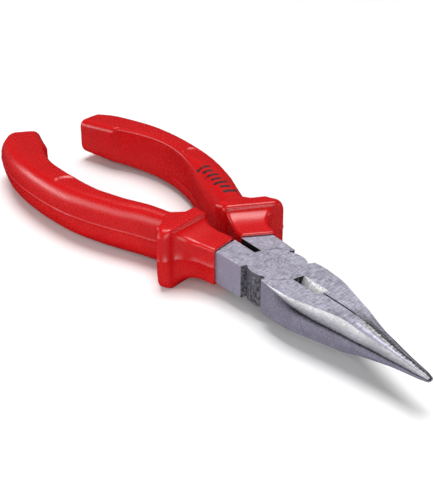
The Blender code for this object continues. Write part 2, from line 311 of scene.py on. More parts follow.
class Nodes:
    """A short way to write the node tree of a material or of the world."""

    def __init__(self, owner):
        owner.use_nodes = True
        self.owner = owner
        self.tree = owner.node_tree

    def feed(self, socket, value):
        """Link a socket to another one, or set it to a constant."""
        if isinstance(value, bpy.types.NodeSocket):
            self.tree.links.new(value, socket)
        else:
            socket.default_value = value

    def add(self, kind, values=None, **settings):
        node = self.tree.nodes.new(kind)
        for key, value in settings.items():
            setattr(node, key, value)
        for key, value in (values or {}).items():
            self.feed(node.inputs[key], value)
        return node

    def math(self, operation, first, second=0.0):
        return self.add("ShaderNodeMath", {0: first, 1: second}, operation=operation).outputs[0]

    def times(self, first, second):
        return self.math("MULTIPLY", first, second)

    def plus(self, first, second, weight=1.0):
        """The first value and the second one, which may be weighted."""
        return self.math("ADD", first, second if weight == 1.0 else self.times(second, weight))

    def noise(self, place, scale, detail=3.0, roughness=0.55):
        values = {"Vector": place, "Scale": scale, "Detail": detail, "Roughness": roughness}
        return self.add("ShaderNodeTexNoise", values).outputs["Fac"]

    def spread(self, value, low, high, to_low=0.0, to_high=1.0):
        values = {"Value": value, "From Min": low, "From Max": high, "To Min": to_low, "To Max": to_high}
        return self.add("ShaderNodeMapRange", values).outputs["Result"]

    def mix(self, factor, first, second):
        """Mix two colours, which are the seventh and eighth inputs of the node."""
        values = {"Factor": factor, 6: first, 7: second}
        return self.add("ShaderNodeMix", values, data_type="RGBA").outputs[2]

    def place(self, stretch=(1.0, 1.0, 1.0)):
        """Object coordinates in millimetres, with a stretch along each axis."""
        coordinates = self.add("ShaderNodeTexCoord").outputs["Object"]
        values = {"Vector": coordinates, "Scale": tuple(part / MM for part in stretch)}
        return self.add("ShaderNodeMapping", values).outputs["Vector"]

    def split(self, place):
        return self.add("ShaderNodeSeparateXYZ", {0: place}).outputs

    def bump(self, height, strength, distance):
        values = {"Height": height, "Strength": strength, "Distance": distance * MM}
        node = self.add("ShaderNodeBump", values)
        self.tree.links.new(node.outputs["Normal"], self.tree.nodes["Principled BSDF"].inputs["Normal"])

    def surface(self, **values):
        """Set the inputs of the material's shader, and give the material back."""
        shader = self.tree.nodes["Principled BSDF"]
        for key, value in values.items():
            self.feed(shader.inputs[key.replace("_", " ")], value)
        return self.owner


def new_nodes(name):
    return Nodes(bpy.data.materials.new(name))


def grey(level, tint=0.0):
    """A steel colour. Tint moves it towards violet."""
    return (level * (1.0 + 0.25 * tint), level, level * (1.0 + 1.3 * tint), 1.0)


def arc_grain(nodes, centre, across, along):
    """Noise drawn out along circles round a far centre, as a grinding wheel leaves it."""
    split = nodes.split(nodes.place())
    x = nodes.math("SUBTRACT", split["X"], centre[0])
    y = nodes.math("SUBTRACT", split["Y"], centre[1])
    radius = nodes.math("SQRT", nodes.plus(nodes.times(x, x), nodes.times(y, y)))
    turn = nodes.math("ARCTAN2", y, x)
    values = {"X": nodes.times(radius, across), "Y": nodes.times(turn, along), "Z": split["Z"]}
    return nodes.noise(nodes.add("ShaderNodeCombineXYZ", values).outputs["Vector"], 1.0, detail=2.0)


def band_of(nodes):
    """Where a point lies round the jaw: -1 at the seam, 0 and 1 at the facet's two edges, 2 mid-side."""
    return nodes.add("ShaderNodeAttribute", attribute_name="band").outputs["Fac"]


def share_along(nodes, low, high):
    """How far a point is between two distances from the pivot towards the tip, from 0 to 1."""
    return nodes.spread(nodes.split(nodes.place())["X"], low, high)


def far_share(nodes, near_value, far_value):
    """One value on the near jaw and another on the far jaw."""
    return nodes.spread(nodes.split(nodes.place())["Y"], -0.2, 0.2, near_value, far_value)


def ground_steel():
    """The flat faces of the joint and the jaws, ground by a wheel that leaves faint crossing arcs."""
    nodes = new_nodes("ground_steel")
    first = arc_grain(nodes, **FIRST_GRIND)
    second = arc_grain(nodes, **SECOND_GRIND)
    grain = nodes.plus(nodes.times(first, 0.65), second, 0.35)
    blotch = nodes.noise(nodes.place(), 0.12, detail=4.0)
    speck = nodes.noise(nodes.place(), 2.2, detail=2.0)
    tone = nodes.plus(nodes.plus(grain, speck, 0.25), blotch, 0.2)
    tone = nodes.spread(tone, 0.56, 0.88)
    colour = nodes.mix(tone, grey(0.20, 0.22), grey(0.62, 0.16))
    # On the nose, a mottled strip runs along the seam
    band = band_of(nodes)
    nose = share_along(nodes, NOSE_START - 2.0, NOSE_START + 6.0)
    strip = nodes.times(nodes.spread(band, -0.42, -0.62), nose)
    mottle = nodes.spread(nodes.noise(nodes.place(), 1.3, detail=4.0), 0.38, 0.64)
    colour = nodes.mix(strip, colour, nodes.mix(mottle, grey(0.07, 0.12), grey(0.25, 0.03)))
    # Painted shade darkens the rest of the nose's top face towards its outer edge, more on the near jaw
    # than on the far one
    line = nodes.times(nodes.spread(band, -0.55, -0.2), nose)
    line = nodes.times(line, far_share(nodes, 0.8, 0.35))
    colour = nodes.mix(line, colour, grey(0.07, 0.25))
    nodes.bump(grain, 0.4, 0.14)
    roughness = nodes.spread(grain, 0.3, 0.7, 0.36, 0.52)
    return nodes.surface(Base_Color=colour, Metallic=0.6, Roughness=roughness)


def forged_steel():
    """The sides that the grinder did not touch: darker, violet, with tiny bright grains."""
    nodes = new_nodes("forged_steel")
    fine = nodes.noise(nodes.place(), 2.6, detail=4.0)
    blotch = nodes.noise(nodes.place(), 0.25, detail=3.0)
    grains = nodes.spread(nodes.noise(nodes.place(), 3.1, detail=1.0), 0.70, 0.78)
    tone = nodes.spread(nodes.plus(fine, blotch, 0.4), 0.5, 0.9)
    colour = nodes.mix(tone, grey(0.17, 0.30), grey(0.31, 0.24))
    colour = nodes.mix(grains, colour, grey(0.6, 0.1))
    # A painted black shade lies under the facet on the upper half of the side, and the neck is brighter
    ragged = nodes.plus(band_of(nodes), nodes.spread(fine, 0.3, 0.7, -0.14, 0.14))
    above = nodes.spread(nodes.split(nodes.place())["Z"], -0.2, 0.3)
    shade = nodes.times(nodes.spread(ragged, 1.8, 1.18), share_along(nodes, 10.0, 19.0))
    colour = nodes.mix(nodes.times(shade, above), colour, grey(0.012, 0.3))
    neck = nodes.spread(share_along(nodes, 0.0, -5.0), 0.0, 1.0, 0.0, 0.3)
    colour = nodes.mix(neck, colour, grey(0.46, 0.24))
    nodes.bump(fine, 0.5, 0.15)
    return nodes.surface(Base_Color=colour, Metallic=0.25, Roughness=0.5)


def facet_steel():
    """The polished facets of the jaws, with a painted highlight at the top edge that falls away softly to
    painted shade at the dark foot.
    """
    nodes = new_nodes("facet_steel")
    streak = nodes.noise(nodes.place((0.35, 2.0, 2.0)), 1.4, detail=3.0)
    fine = nodes.noise(nodes.place(), 2.8, detail=3.0)
    tone = nodes.spread(nodes.plus(streak, fine), 0.75, 1.25)
    foot = nodes.plus(band_of(nodes), nodes.spread(fine, 0.3, 0.7, -0.12, 0.12))
    # Painted highlight near the facet's top edge, dimmer towards the tip and near black on the far jaw
    front = nodes.spread(share_along(nodes, 22.0, 36.0), 0.0, 1.0, 1.0, 0.72)
    upper = nodes.mix(tone, grey(0.55, 0.06), grey(0.98, 0.02))
    upper = nodes.mix(front, grey(0.0), upper)
    upper = nodes.mix(far_share(nodes, 0.0, 0.9), upper, grey(0.05, 0.3))
    # Painted shade further down the facet, and darker still at its foot
    lower = nodes.mix(tone, grey(0.2, 0.12), grey(0.36, 0.1))
    colour = nodes.mix(nodes.spread(foot, 0.22, 0.72), upper, lower)
    dark = nodes.times(nodes.spread(foot, 0.78, 1.05), share_along(nodes, 10.0, 19.0))
    colour = nodes.mix(dark, colour, grey(0.05, 0.3))
    nodes.bump(streak, 0.3, 0.1)
    roughness = nodes.spread(fine, 0.3, 0.7, 0.34, 0.46)
    return nodes.surface(Base_Color=colour, Metallic=0.45, Roughness=roughness)


def rivet_steel():
    """The rivet's ground head, a little smoother than the discs round it."""
    nodes = new_nodes("rivet_steel")
    grain = arc_grain(nodes, **RIVET_GRIND)
    speck = nodes.noise(nodes.place(), 2.2, detail=2.0)
    tone = nodes.spread(nodes.plus(grain, speck, 0.4), 0.45, 0.9)
    colour = nodes.mix(tone, grey(0.24, 0.22), grey(0.56, 0.16))
    nodes.bump(grain, 0.4, 0.14)
    return nodes.surface(Base_Color=colour, Metallic=0.6, Roughness=0.44)


def red_pvc():
    """Glossy moulded PVC, with the very slight ripple and colour change of a moulding."""
    nodes = new_nodes("red_pvc")
    flow = nodes.noise(nodes.place((0.5, 1.0, 1.0)), 0.12, detail=3.0)
    pores = nodes.noise(nodes.place(), 2.4, detail=3.0)
    tone = nodes.spread(flow, 0.3, 0.7)
    colour = nodes.mix(tone, (0.55, 0.002, 0.004, 1.0), (0.62, 0.005, 0.007, 1.0))
    nodes.bump(nodes.plus(nodes.times(flow, 3.0), pores, 0.12), 0.15, 0.1)
    roughness = nodes.spread(pores, 0.3, 0.7, 0.24, 0.32)
    return nodes.surface(Base_Color=colour, Roughness=roughness, Specular_IOR_Level=0.5)


def mottled(name, scale, detail, span, colours, bump=None, grit=0.55, **surface):
    """A material whose patches run from one colour to another, over a span of the noise."""
    nodes = new_nodes(name)
    patch = nodes.noise(nodes.place(), scale, detail, grit)
    colour = nodes.mix(nodes.spread(patch, *span), *colours)
    if bump:
        nodes.bump(patch, *bump)
    return nodes.surface(Base_Color=colour, **surface)


def bright_steel():
    """The bevels of the cutter."""
    return mottled("bright_steel", 1.6, 4.0, (0.35, 0.6), (grey(0.5, 0.05), grey(0.98)), bump=(0.4, 0.1),
                   Metallic=0.5, Roughness=0.42)


def dark_steel():
    """The walls of the notches: scaled, dark and rough."""
    return mottled("dark_steel", 1.1, 5.0, (0.38, 0.66), (grey(0.03, 0.1), grey(0.28, 0.15)),
                   bump=(0.7, 0.3), grit=0.7, Metallic=0.4, Roughness=0.6)


def black_steel():
    """Near black, for the inside of the slot and the joint; on the inner end of the cutter's V-hole it is
    painted shade, where no light enters.
    """
    return mottled("black_steel", 1.6, 3.0, (0.4, 0.7), (grey(0.004), grey(0.02)), Metallic=0.2,
                   Roughness=0.6, Specular_IOR_Level=0.3)


def edge_steel():
    """The fine edges of the ground faces: worn bright steel, made lighter still as a painted highlight
    along the edges.
    """
    return mottled("edge_steel", 0.8, 4.0, (0.42, 0.62), (grey(0.4, 0.15), grey(0.95, 0.02)), Metallic=0.6,
                   Roughness=0.4)


def black_ink():
    """Worn print."""
    return mottled("black_ink", 1.6, 4.0, (0.45, 0.75),
                   ((0.02, 0.008, 0.01, 1.0), (0.09, 0.012, 0.014, 1.0)), Roughness=0.45)


# ---------------------------------------------------------------- mesh tools

def linked(name, data):
    made = bpy.data.objects.new(name, data)
    bpy.context.scene.collection.objects.link(made)
    return made


def new_piece(name, mesh, materials=()):
    """A piece drawn in millimetres about the pivot, put in its place in the frame."""
    mesh.transform(Matrix.Scale(MM, 4))
    for each in materials:
        mesh.materials.append(each)
    piece = linked(name, mesh)
    piece.location = PIVOT
    return piece


def loft(name, rings, bands=None, first=0, last=0):
    """Skin a chain of rings. Bands gives the material of the face after each point of a ring."""
    work = bmesh.new()
    rows = [[work.verts.new(point) for point in ring] for ring in rings]
    count = len(rows[0])
    for row, following in zip(rows, rows[1:]):
        for i in range(count):
            j = (i + 1) % count
            face = work.faces.new((row[i], row[j], following[j], following[i]))
            face.material_index = bands[i] if bands else first
    work.faces.new(rows[0]).material_index = first
    work.faces.new(rows[-1]).material_index = last
    bmesh.ops.recalc_face_normals(work, faces=work.faces)
    mesh = bpy.data.meshes.new(name)
    work.to_mesh(mesh)
    work.free()
    return mesh


def prism(name, outline, low, high, wall, plate=GROUND):
    rings = [[(x, y, z) for x, y in outline] for z in (low, high)]
    return loft(name, rings, [wall] * len(outline), plate, plate)


def arc(radius, start, end, steps):
    turns = [math.radians(start + (end - start) * i / steps) for i in range(steps + 1)]
    return [(radius * math.cos(turn), radius * math.sin(turn)) for turn in turns]


def circle(radius, segments):
    return arc(radius, 0.0, 360.0, segments)[:-1]


def quarter(steps):
    return [math.radians(90.0 * i / steps) for i in range(steps + 1)]


def blend_rows(before, start, end, after, t):
    weights = (-t + 2 * t ** 2 - t ** 3, 2 - 5 * t ** 2 + 3 * t ** 3,
               t + 4 * t ** 2 - 3 * t ** 3, t ** 3 - t ** 2)
    columns = zip(before, start, end, after)
    return tuple(sum(w * v for w, v in zip(weights, column)) / 2 for column in columns)


def catmull_rom(rows, steps):
    """Smooth rows of numbers through the given rows, with some steps from each one to the next."""
    padded = [rows[0]] + list(rows) + [rows[-1]]
    result = []
    for group in zip(padded, padded[1:], padded[2:], padded[3:]):
        result += [blend_rows(*group, step / steps) for step in range(steps)]
    result.append(tuple(rows[-1]))
    return result


def clamped(value, low, high):
    return min(max(value, low), high)


def share_of(value, low, high):
    """How far a value has come from low to high, from 0 to 1."""
    return clamped((value - low) / (high - low), 0.0, 1.0)


def smooth_step(value, low, high):
    t = share_of(value, low, high)
    return t * t * (3.0 - 2.0 * t)


def outward(rung):
    """The direction from a rung's inner end to its outer end."""
    return Vector((rung[2] - rung[0], rung[3] - rung[1])).normalized()


def moved_along(rung, distance):
    """A rung moved at right angles to itself, towards the end of the handle."""
    side = outward(rung)
    x = -side.y * distance
    y = side.x * distance
    return (rung[0] + x, rung[1] + y, rung[2] + x, rung[3] + y) + tuple(rung[4:])


def bent(rung, which):
    """A rung with the shifts in which the two handles differ."""
    share = share_of(-rung[0], -BEND_START, -BEND_END)
    x, y = (part * share for part in END_SHIFT[which])
    root = share_of(rung[0], ROOT_SHIFT_START, ROOT_SHIFT_FULL)
    inner, outer = (part * root for part in ROOT_SHIFT[which])
    return (rung[0] + x, rung[1] + y + inner, rung[2] + x, rung[3] + y + outer) + tuple(rung[4:])


def shrunk(rung, inner, outer=None, height=None):
    """A rung drawn in at its inner end, its outer end and its height."""
    outer = inner if outer is None else outer
    height = inner if height is None else height
    side = outward(rung)
    losses = zip(rung[5:], (inner, outer, height))
    corners = (max(corner - loss, SMALLEST_CORNER) for corner, loss in losses)
    return (rung[0] + side.x * inner, rung[1] + side.y * inner,
            rung[2] - side.x * outer, rung[3] - side.y * outer, rung[4] - height, *corners)


# ---------------------------------------------------------------- grips

def corner_points(u, v, wide, tall, turns, start):
    angles = [math.radians(start + turn) for turn in turns]
    return [(u + wide * math.cos(angle), v + tall * math.sin(angle)) for angle in angles]


def panel_depth(x, u, width):
    """How far the shallow panel on the top of the handle is sunk at a point."""
    middle = (PANEL_INNER + width - PANEL_FROM_OUTER) / 2
    radius = (width - PANEL_FROM_OUTER - PANEL_INNER) / 2
    beyond = max(PANEL_START + radius - x, 0.0)
    outside = math.hypot(beyond, u - middle) - radius
    fade = 1.0 - smooth_step(x, PANEL_END - PANEL_FADE, PANEL_END)
    return PANEL_DEPTH * (1.0 - smooth_step(outside, *PANEL_WALL)) * fade


def groove_depth(x, v):
    """How far the groove on the inner side of the handle is sunk at a point."""
    along = smooth_step(x, GROOVE_START, GROOVE_START + GROOVE_FADE)
    along *= 1.0 - smooth_step(x, GROOVE_END - GROOVE_FADE, GROOVE_END)
    return GROOVE_DEPTH * along * (1.0 - smooth_step(abs(v - GROOVE_HEIGHT), *GROOVE_WALL))


def grip_section(rung):
    """A ring of the grip's skin: an upright rounded rectangle with its ridge, its panels and its groove."""
    inner_x, inner_y, outer_x, outer_y, height, inner_radius, outer_width, outer_height = rung
    side = outward(rung)
    width = math.hypot(outer_x - inner_x, outer_y - inner_y) - RIDGE_HEIGHT - SKIN_INSET
    low = width - outer_width
    # Lower outer corner, ridge, upper outer corner
    flat = height - outer_height
    backwards = [90.0 - turn for turn in reversed(OUTER_CORNER_TURNS)]
    ring = corner_points(low, -flat, outer_width, outer_height, backwards, -90.0)
    for v, rise in RIDGE_SECTION:
        ring.append((width + RIDGE_HEIGHT * rise, clamped(v, -flat * RIDGE_WITHIN, flat * RIDGE_WITHIN)))
    ring += corner_points(low, flat, outer_width, outer_height, OUTER_CORNER_TURNS, 0.0)
    # Top, upper inner corner
    share = smooth_step(inner_x, SOFT_EDGE_START, SOFT_EDGE_FULL)
    share *= smooth_step(-inner_x, *SOFT_EDGE_ROOT_FADE)
    wide = inner_radius + share * max(min(SOFT_EDGE_WIDTH, low - SOFT_EDGE_MARGIN) - inner_radius, 0.0)
    tall = inner_radius + share * (SOFT_EDGE_HEIGHT - inner_radius)
    top = [low + (wide - low) * (i + 1) / (TOP_POINTS + 1) for i in range(TOP_POINTS)]
    ring += [(u, height) for u in top]
    ring += corner_points(wide, height - tall, wide, tall, INNER_CORNER_TURNS, 90.0)
    # Inner side, lower inner corner, underside
    inner_flat = height - inner_radius
    for v in INNER_SIDE_POINTS:
        ring.append((0.0, clamped(v, -inner_flat * INNER_SIDE_WITHIN, inner_flat * INNER_SIDE_WITHIN)))
    ring += corner_points(inner_radius, -inner_flat, inner_radius, inner_radius, INNER_CORNER_TURNS, 180.0)
    ring += [(u, -height) for u in reversed(top)]
    has_panel = width > PANEL_FROM_OUTER + PANEL_INNER + PANEL_LEAST_WIDTH
    points = []
    for u, v in ring:
        x = inner_x + side.x * u
        if has_panel and abs(v) > height * PANEL_ABOVE:
            v -= math.copysign(panel_depth(x, u, width), v)
        if u < INNER_SIDE_TOLERANCE:
            u += groove_depth(x, v)
        points.append((inner_x + side.x * u, inner_y + side.y * u, v))
    return points


def round_loss(depth, radius):
    """How much a rounded edge takes off a side, at a depth below the face that the edge leads to."""
    return radius - math.sqrt(radius ** 2 - (radius - depth) ** 2) if depth < radius else 0.0


def guard_rungs(inner_reach, outer_reach):
    """Collar, concave fillet and raised rim, from the front face of the collar to the back of the rim."""
    rungs = [shrunk(moved_along(COLLAR_FRONT, COLLAR_EDGE * (1 - math.cos(turn))),
                    COLLAR_EDGE * (1 - math.sin(turn))) for turn in quarter(ROUND_STEPS)]
    rim_front, rim_back = (shrunk(rung, -inner_reach, -outer_reach, 0.0)[:5] + rung[5:]
                           for rung in (FLANGE_FRONT, FLANGE_BACK))
    face = shrunk(rim_front, RIM_FRONT_EDGE, RIM_OUTER_EDGE, RIM_FRONT_EDGE)
    for turn in quarter(FILLET_STEPS):
        rungs.append(tuple(back + (base - back) * math.sin(turn) + (top - base) * (1 - math.cos(turn))
                           for back, base, top in zip(COLLAR_BACK, FLANGE_BASE, face)))
    for turn in quarter(RIM_STEPS)[1:]:
        back = RIM_OUTER_EDGE * (1 - math.cos(turn))
        small = round_loss(back, RIM_FRONT_EDGE)
        outer = RIM_OUTER_EDGE * (1 - math.sin(turn))
        rungs.append(shrunk(moved_along(rim_front, back), small, outer, small))
    for turn in quarter(ROUND_STEPS):
        rungs.append(shrunk(moved_along(rim_back, RIM_BACK_EDGE * (math.sin(turn) - 1)),
                            RIM_BACK_EDGE * (1 - math.cos(turn))))
    return rungs


def handle_rungs(which):
    """From the root of the handle over its hump to the thicker end, which is rounded off."""
    shaft, bulge = ([bent(rung, which) for rung in rungs] for rungs in (HANDLE_RUNGS, BULGE_RUNGS))
    shaft = catmull_rom(shaft, HANDLE_STEPS)
    bulge = catmull_rom(bulge, BULGE_STEPS)
    # The step up to the thicker end swells inwards smoothly, as only inner y and the sizes ease in and out
    swell = []
    for i in range(1, SWELL_STEPS):
        t = i / SWELL_STEPS
        eased = smooth_step(t, 0.0, 1.0)
        swell.append(tuple(a + (b - a) * (t if place in (0, 2, 3) else eased)
                           for place, (a, b) in enumerate(zip(shaft[-1], bulge[0]))))
    rungs = shaft + swell + bulge
    last = rungs[-1]
    for turn in quarter(END_STEPS)[1:]:
        share = 1 - math.cos(turn)
        rungs.append(shrunk(moved_along(last, END_ROUND * math.sin(turn)), END_ROUND * share,
                            END_OUTER_ROUND * share, END_ROUND * share))
    return rungs


def build_grip(name, which, body):
    skin = guard_rungs(GUARD_INNER_REACH[which], GUARD_OUTER_REACH[which]) + handle_rungs(which)
    lip = [shrunk(COLLAR_FRONT, LIP_WALL),
           moved_along(shrunk(COLLAR_FRONT, LIP_WALL + LIP_TAPER), LIP_DEPTH)]
    mesh = loft(name, [grip_section(rung) for rung in skin[::-1] + lip])
    if which == "upper":
        mesh.transform(Matrix.Scale(-1.0, 4, Vector((0.0, 1.0, 0.0))))
        mesh.flip_normals()
    grip = new_piece(name + "_skin", mesh, [RED])
    mesh.shade_smooth()
    mesh.set_sharp_from_angle(angle=math.radians(GRIP_SHARP_DEG))
    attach(grip, body)
    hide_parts(name)
    return grip


# ---------------------------------------------------------------- levers

def lap_outline():
    """The disc of the lap joint, with a notch on each side."""
    neck_angle = math.degrees(math.atan2(NECK_CORNER[1], NECK_CORNER[0])) + NECK_RELIEF_DEG
    jaw_angle = math.degrees(math.atan2(JAW_SHOULDER[1], JAW_SHOULDER[0])) - JAW_RELIEF_DEG
    step = NOTCH_WALL_DEG
    outline = arc(NOTCH_RADIUS, jaw_angle, neck_angle, NOTCH_SEGMENTS)
    outline += arc(LAP_RADIUS, neck_angle + step, 360.0 - neck_angle - step, LAP_SEGMENTS)
    outline += arc(NOTCH_RADIUS, 360.0 - neck_angle, 360.0 - jaw_angle, NOTCH_SEGMENTS)
    outline += arc(LAP_RADIUS, 360.0 - jaw_angle + step, 360.0 + jaw_angle - step, LAP_SEGMENTS)
    return outline


def neck_mesh(name):
    corners = ((NECK_CORNER[0], SLOT_HALF_WIDTH), NECK_CORNER, NECK_AT_COLLAR, SLOT_AT_COLLAR)
    rings = [[(x, y, z) for x, y in corners] for z in (-HALF_THICKNESS, HALF_THICKNESS)]
    return loft(name, rings, [DARK, FORGED, BLACK, BLACK], GROUND, GROUND)


def tooth_rise(x):
    """How far the seam face stands back from the tips of the teeth at x, from 0 at a tip to 1 in a root."""
    phase = (x - OPEN_SEAM_END) / TOOTH_PITCH % 1.0
    return 1.0 - abs(2.0 * phase - 1.0)


def between(start, end, share):
    return tuple(a + (b - a) * share for a, b in zip(start, end))


def row_at(rows, x):
    after = next((i for i, row in enumerate(rows) if row[0] >= x - 1e-6), len(rows) - 1)
    before = max(after - 1, 0)
    span = rows[after][0] - rows[before][0]
    t = clamped((x - rows[before][0]) / span, 0.0, 1.0) if span else 0.0
    return between(rows[before], rows[after], t)


def jaw_rows():
    """Stations of the jaw, close together where there are teeth."""
    smooth = catmull_rom(JAW_STATIONS, JAW_STEPS)
    toothed_rows = int(2 * TOOTHED_LENGTH / TOOTH_PITCH)
    places = [JAW_SHOULDER[0] + i * PLAIN_ROW_PITCH for i in range(PLAIN_ROWS)]
    places += [OPEN_SEAM_END + i * TOOTH_PITCH / 2 for i in range(toothed_rows)]
    places.append(JAW_STATIONS[-1][0])
    return [row_at(smooth, x) for x in places]


def jaw_edges(row):
    """The seam's edge, the top face's edge and the facet's lower edge of a section, as (y, z)."""
    x, outer, top_edge, facet, top = row
    seam = SEAM_HALF_GAP + TOOTH_DEPTH * tooth_rise(x) if x >= OPEN_SEAM_END else OPEN_SEAM_HALF_GAP
    crown = NOSE_CROWN * top_edge * smooth_step(x, NOSE_START, NOSE_FULL)
    return (-seam, top), (-top_edge, top - crown), (-outer, facet)


def jaw_ring(row):
    upper = jaw_edges(row)
    middle = (upper[-1][0], 0.0)
    lower = [(y, -z) for y, z in reversed(upper)]
    return [(row[0], y, z) for y, z in (*upper, middle, *lower)]


def band_at(rows, x, y, z):
    """Where a point of the jaw lies round its section, as the steels read it."""
    if x < JAW_SHOULDER[0] + BAND_FROM_SHOULDER or y > 0.0:
        return -1.0
    seam, top_edge, facet = jaw_edges(row_at(rows, x))
    if y > top_edge[0] + BAND_TOLERANCE:
        return -1.0 + (seam[0] - y) / (seam[0] - top_edge[0])
    if abs(z) > facet[1]:
        return max((top_edge[1] - abs(z)) / (top_edge[1] - facet[1]), 0.0)
    return 1.0 + (facet[1] - abs(z)) / facet[1]


def mark_bands(mesh):
    rows = catmull_rom(JAW_STATIONS, BAND_STEPS)
    band = mesh.attributes.new("band", "FLOAT", "POINT")
    for i, corner in enumerate(mesh.vertices):
        band.data[i].value = band_at(rows, *corner.co)


def round_rings(profile, segments, grow=0.0):
    """Rings round the pivot. The profile holds the radii and heights of the upper half."""
    profile += tuple((radius, -z) for radius, z in reversed(profile))
    return [[(x, y, z) for x, y in circle(radius + grow, segments)] for radius, z in profile]


def bore_mesh(name):
    profile = ((RIVET_HEAD_RADIUS, HALF_THICKNESS + BORE_REACH),
               (RIVET_RADIUS, HALF_THICKNESS - RIVET_HEAD_DEPTH))
    rings = round_rings(profile, BORE_SEGMENTS, grow=RIVET_CLEARANCE)
    return loft(name, rings, [DARK] * BORE_SEGMENTS, DARK, DARK)


def cutter_mesh(name):
    reach = HALF_THICKNESS + CUT_REACH
    wide = -SEAM_HALF_GAP - CUTTER_HALF_WIDTH / HALF_THICKNESS * reach
    profile = ((wide, reach), (CUT_REACH, reach), (CUT_REACH, -reach), (wide, -reach),
               (-SEAM_HALF_GAP, 0.0))
    rings = [[(x, y, z) for y, z in profile] for x in (CUTTER_START, CUTTER_END)]
    # The V-hole's inner end is near black: painted shade, as no light enters there
    return loft(name, rings, [BRIGHT] * len(profile), BLACK, BRIGHT)


def box_section(rung):
    """A plain ring with square corners."""
    side = outward(rung)
    width = math.hypot(rung[2] - rung[0], rung[3] - rung[1])
    height = rung[4]
    points = [(width, -height), (width, height), (0.0, height), (0.0, -height)]
    return [(rung[0] + side.x * u, rung[1] + side.y * u, v) for u, v in points]


def tang_mesh(name, which):
    """The bar inside the grip."""
    rungs = list(TANG_ROOT_RUNGS)
    for rung in [bent(rung, which) for rung in HANDLE_RUNGS + BULGE_RUNGS[1:2]]:
        middle = Vector((rung[0] + rung[2], rung[1] + rung[3])) / 2
        inner = middle - outward(rung) * TANG_HALF_WIDTH
        outer = middle + outward(rung) * TANG_HALF_WIDTH
        rungs.append((inner.x, inner.y, outer.x, outer.y, TANG_HALF_HEIGHT))
    rings = [box_section(rung) for rung in catmull_rom(rungs, TANG_STEPS)]
    return loft(name, rings, [FORGED] * 4, FORGED, FORGED)


def shape_object(name, mesh):
    for steel in STEELS:
        mesh.materials.append(steel)
    return linked(name, mesh)


def evaluated_mesh(thing, name):
    bpy.context.view_layer.update()
    graph = bpy.context.evaluated_depsgraph_get()
    mesh = bpy.data.meshes.new_from_object(thing.evaluated_get(graph))
    mesh.name = name
    return mesh


def discard(things):
    for thing in things:
        bpy.data.objects.remove(thing, do_unlink=True)


def mark_edges(mesh):
    """Dissolve what is flat, and give a bevel weight to every real edge that is not a tooth's."""
    work = bmesh.new()
    work.from_mesh(mesh)
    bmesh.ops.remove_doubles(work, verts=work.verts, dist=WELD_DISTANCE)
    head = [corner for corner in work.verts if corner.co.x < CUTTER_START]
    edges = [edge for edge in work.edges if all(corner.co.x < CUTTER_START for corner in edge.verts)]
    bmesh.ops.dissolve_limit(work, angle_limit=math.radians(FLAT_WITHIN_DEG), verts=head, edges=edges,
                             delimit={"MATERIAL"})
    weights = work.edges.layers.float
    layer = weights.get("bevel_weight_edge") or weights.new("bevel_weight_edge")
    teeth_y = SEAM_HALF_GAP + TOOTH_DEPTH + TOOTH_MARGIN
    for edge in work.edges:
        if len(edge.link_faces) != 2:
            continue
        middle = (edge.verts[0].co + edge.verts[1].co) / 2
        angle = edge.calc_face_angle(0.0)
        in_teeth = middle.x > OPEN_SEAM_END - TEETH_BEFORE and abs(middle.y) < teeth_y
        steep = angle > math.radians(BEVEL_FROM_DEG) and edge.calc_length() > BEVEL_SHORTEST
        weight = 1.0 - BEVEL_LOSS * smooth_step(middle.x, BEVEL_LOSS_START, BEVEL_LOSS_FULL)
        edge[layer] = weight if steep and not in_teeth else 0.0
        edge.smooth = angle < math.radians(SMOOTH_BELOW_DEG)
    work.to_mesh(mesh)
    work.free()


def lever_solid(name, which):
    """The lap disc with the neck, the jaw and the tang joined on, and the other lever's room cut away."""
    lever = shape_object(name, prism(name, lap_outline(), -HALF_THICKNESS, 0.0, DARK))
    recess = circle(LAP_RADIUS + LAP_CLEARANCE, RECESS_SEGMENTS)
    operations = (
        ("UNION", neck_mesh(name)),
        ("UNION", loft(name, [jaw_ring(row) for row in jaw_rows()], JAW_BANDS, DARK, FORGED)),
        ("UNION", tang_mesh(name, which)),
        ("DIFFERENCE", prism(name, recess, -LAYER_GAP / 2, HALF_THICKNESS + CUT_REACH, DARK, BLACK)),
        ("DIFFERENCE", cutter_mesh(name)),
        ("DIFFERENCE", bore_mesh(name)),
    )
    helpers = []
    for number, (operation, mesh) in enumerate(operations):
        helper = shape_object(f"{name}_{number}", mesh)
        modifier = lever.modifiers.new("cut", "BOOLEAN")
        modifier.operation = operation
        modifier.solver = "EXACT"
        modifier.object = helper
        helpers.append(helper)
    solid = evaluated_mesh(lever, name)
    discard([lever] + helpers)
    return solid


def bevelled(name, solid):
    mark_edges(solid)
    solid.shade_smooth()
    rounded = linked(name, solid)
    bevel = rounded.modifiers.new("edges", "BEVEL")
    bevel.limit_method = "WEIGHT"
    bevel.width = EDGE_BEVEL
    bevel.segments = BEVEL_SEGMENTS
    bevel.material = EDGE
    bevel.miter_outer = "MITER_ARC"
    weighted = rounded.modifiers.new("flat_faces", "WEIGHTED_NORMAL")
    weighted.keep_sharp = True
    weighted.weight = 100
    mesh = evaluated_mesh(rounded, name)
    discard([rounded])
    return mesh


def build_lever(name, which, body):
    mesh = bevelled(name, lever_solid(name, which))
    mark_bands(mesh)
    if which == "upper":
        mesh.transform(Matrix.Rotation(math.pi, 4, "X"))
    piece = new_piece(name + "_steel", mesh)
    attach(piece, body)
    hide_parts(name)


